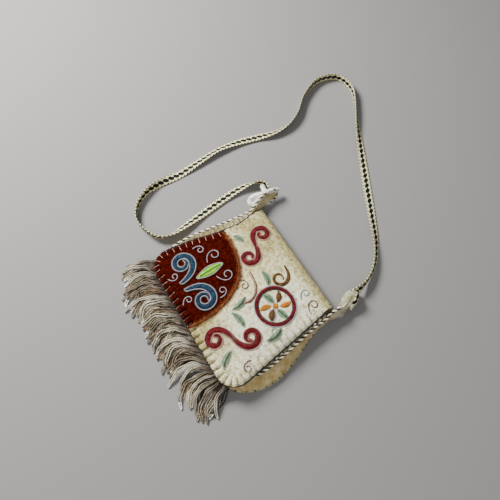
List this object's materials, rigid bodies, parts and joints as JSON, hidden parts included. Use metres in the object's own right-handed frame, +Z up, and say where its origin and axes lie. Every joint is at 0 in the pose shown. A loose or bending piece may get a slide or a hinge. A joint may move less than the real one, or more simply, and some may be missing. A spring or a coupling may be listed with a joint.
{
  "type": "felt crossbody bag",
  "caption": "Soft felt crossbody bag lying on its back, with a folded flap of felt ornament, stitched edge, corded seams, yarn fringe and a long woven strap.",
  "frame": {"origin": "on the flat resting face of the back panel, under the middle of the flap", "axes": "+X to the bag's right as seen from the flap, +Y from the fringe to the fold, +Z up from the resting face through the flap"},
  "size_m": [0.4652, 0.6178, 0.044],
  "materials": {
    "cream_felt": "matte wool felt",
    "beige_felt": "matte wool felt",
    "dark_cord": "twisted wool cord",
    "strap_weave": "woven wool band",
    "white_yarn": "soft wool yarn",
    "grey_yarn": "soft wool yarn",
    "terracotta_felt": "matte wool felt",
    "cream_thread": "wool thread",
    "blue_felt": "matte wool felt",
    "lime_felt": "matte wool felt",
    "crimson_felt": "matte wool felt",
    "sage_felt": "matte wool felt",
    "ochre_felt": "matte wool felt",
    "brown_felt": "matte wool felt"
  },
  "bodies": {
    "root": {"back_panel_flap": "cream_felt", "front_panel": "cream_felt", "gusset": "beige_felt", "seam_cord": "dark_cord", "strap": "strap_weave", "yarn_tie": "white_yarn", "fringe": "grey_yarn", "terracotta_field": "terracotta_felt", "blanket_stitch": "cream_thread", "horn_left": "blue_felt", "horn_right": "blue_felt", "lime_bud": "lime_felt", "roundel_ring": "crimson_felt", "roundel_ray_1": "sage_felt", "roundel_ray_2": "ochre_felt", "roundel_ray_3": "brown_felt", "roundel_ray_4": "sage_felt", "roundel_ray_5": "ochre_felt", "roundel_ray_6": "brown_felt", "roundel_hub": "ochre_felt", "red_scroll_low_a": "crimson_felt", "red_scroll_low_b": "crimson_felt", "red_scroll_high_a": "crimson_felt", "red_scroll_high_b": "crimson_felt", "brown_scroll": "brown_felt", "sage_leaf_1": "sage_felt", "sage_leaf_2": "sage_felt", "sage_leaf_3": "sage_felt", "sage_leaf_4": "sage_felt", "sage_leaf_5": "sage_felt", "sage_leaf_6": "sage_felt"}
  },
  "joints": []
}
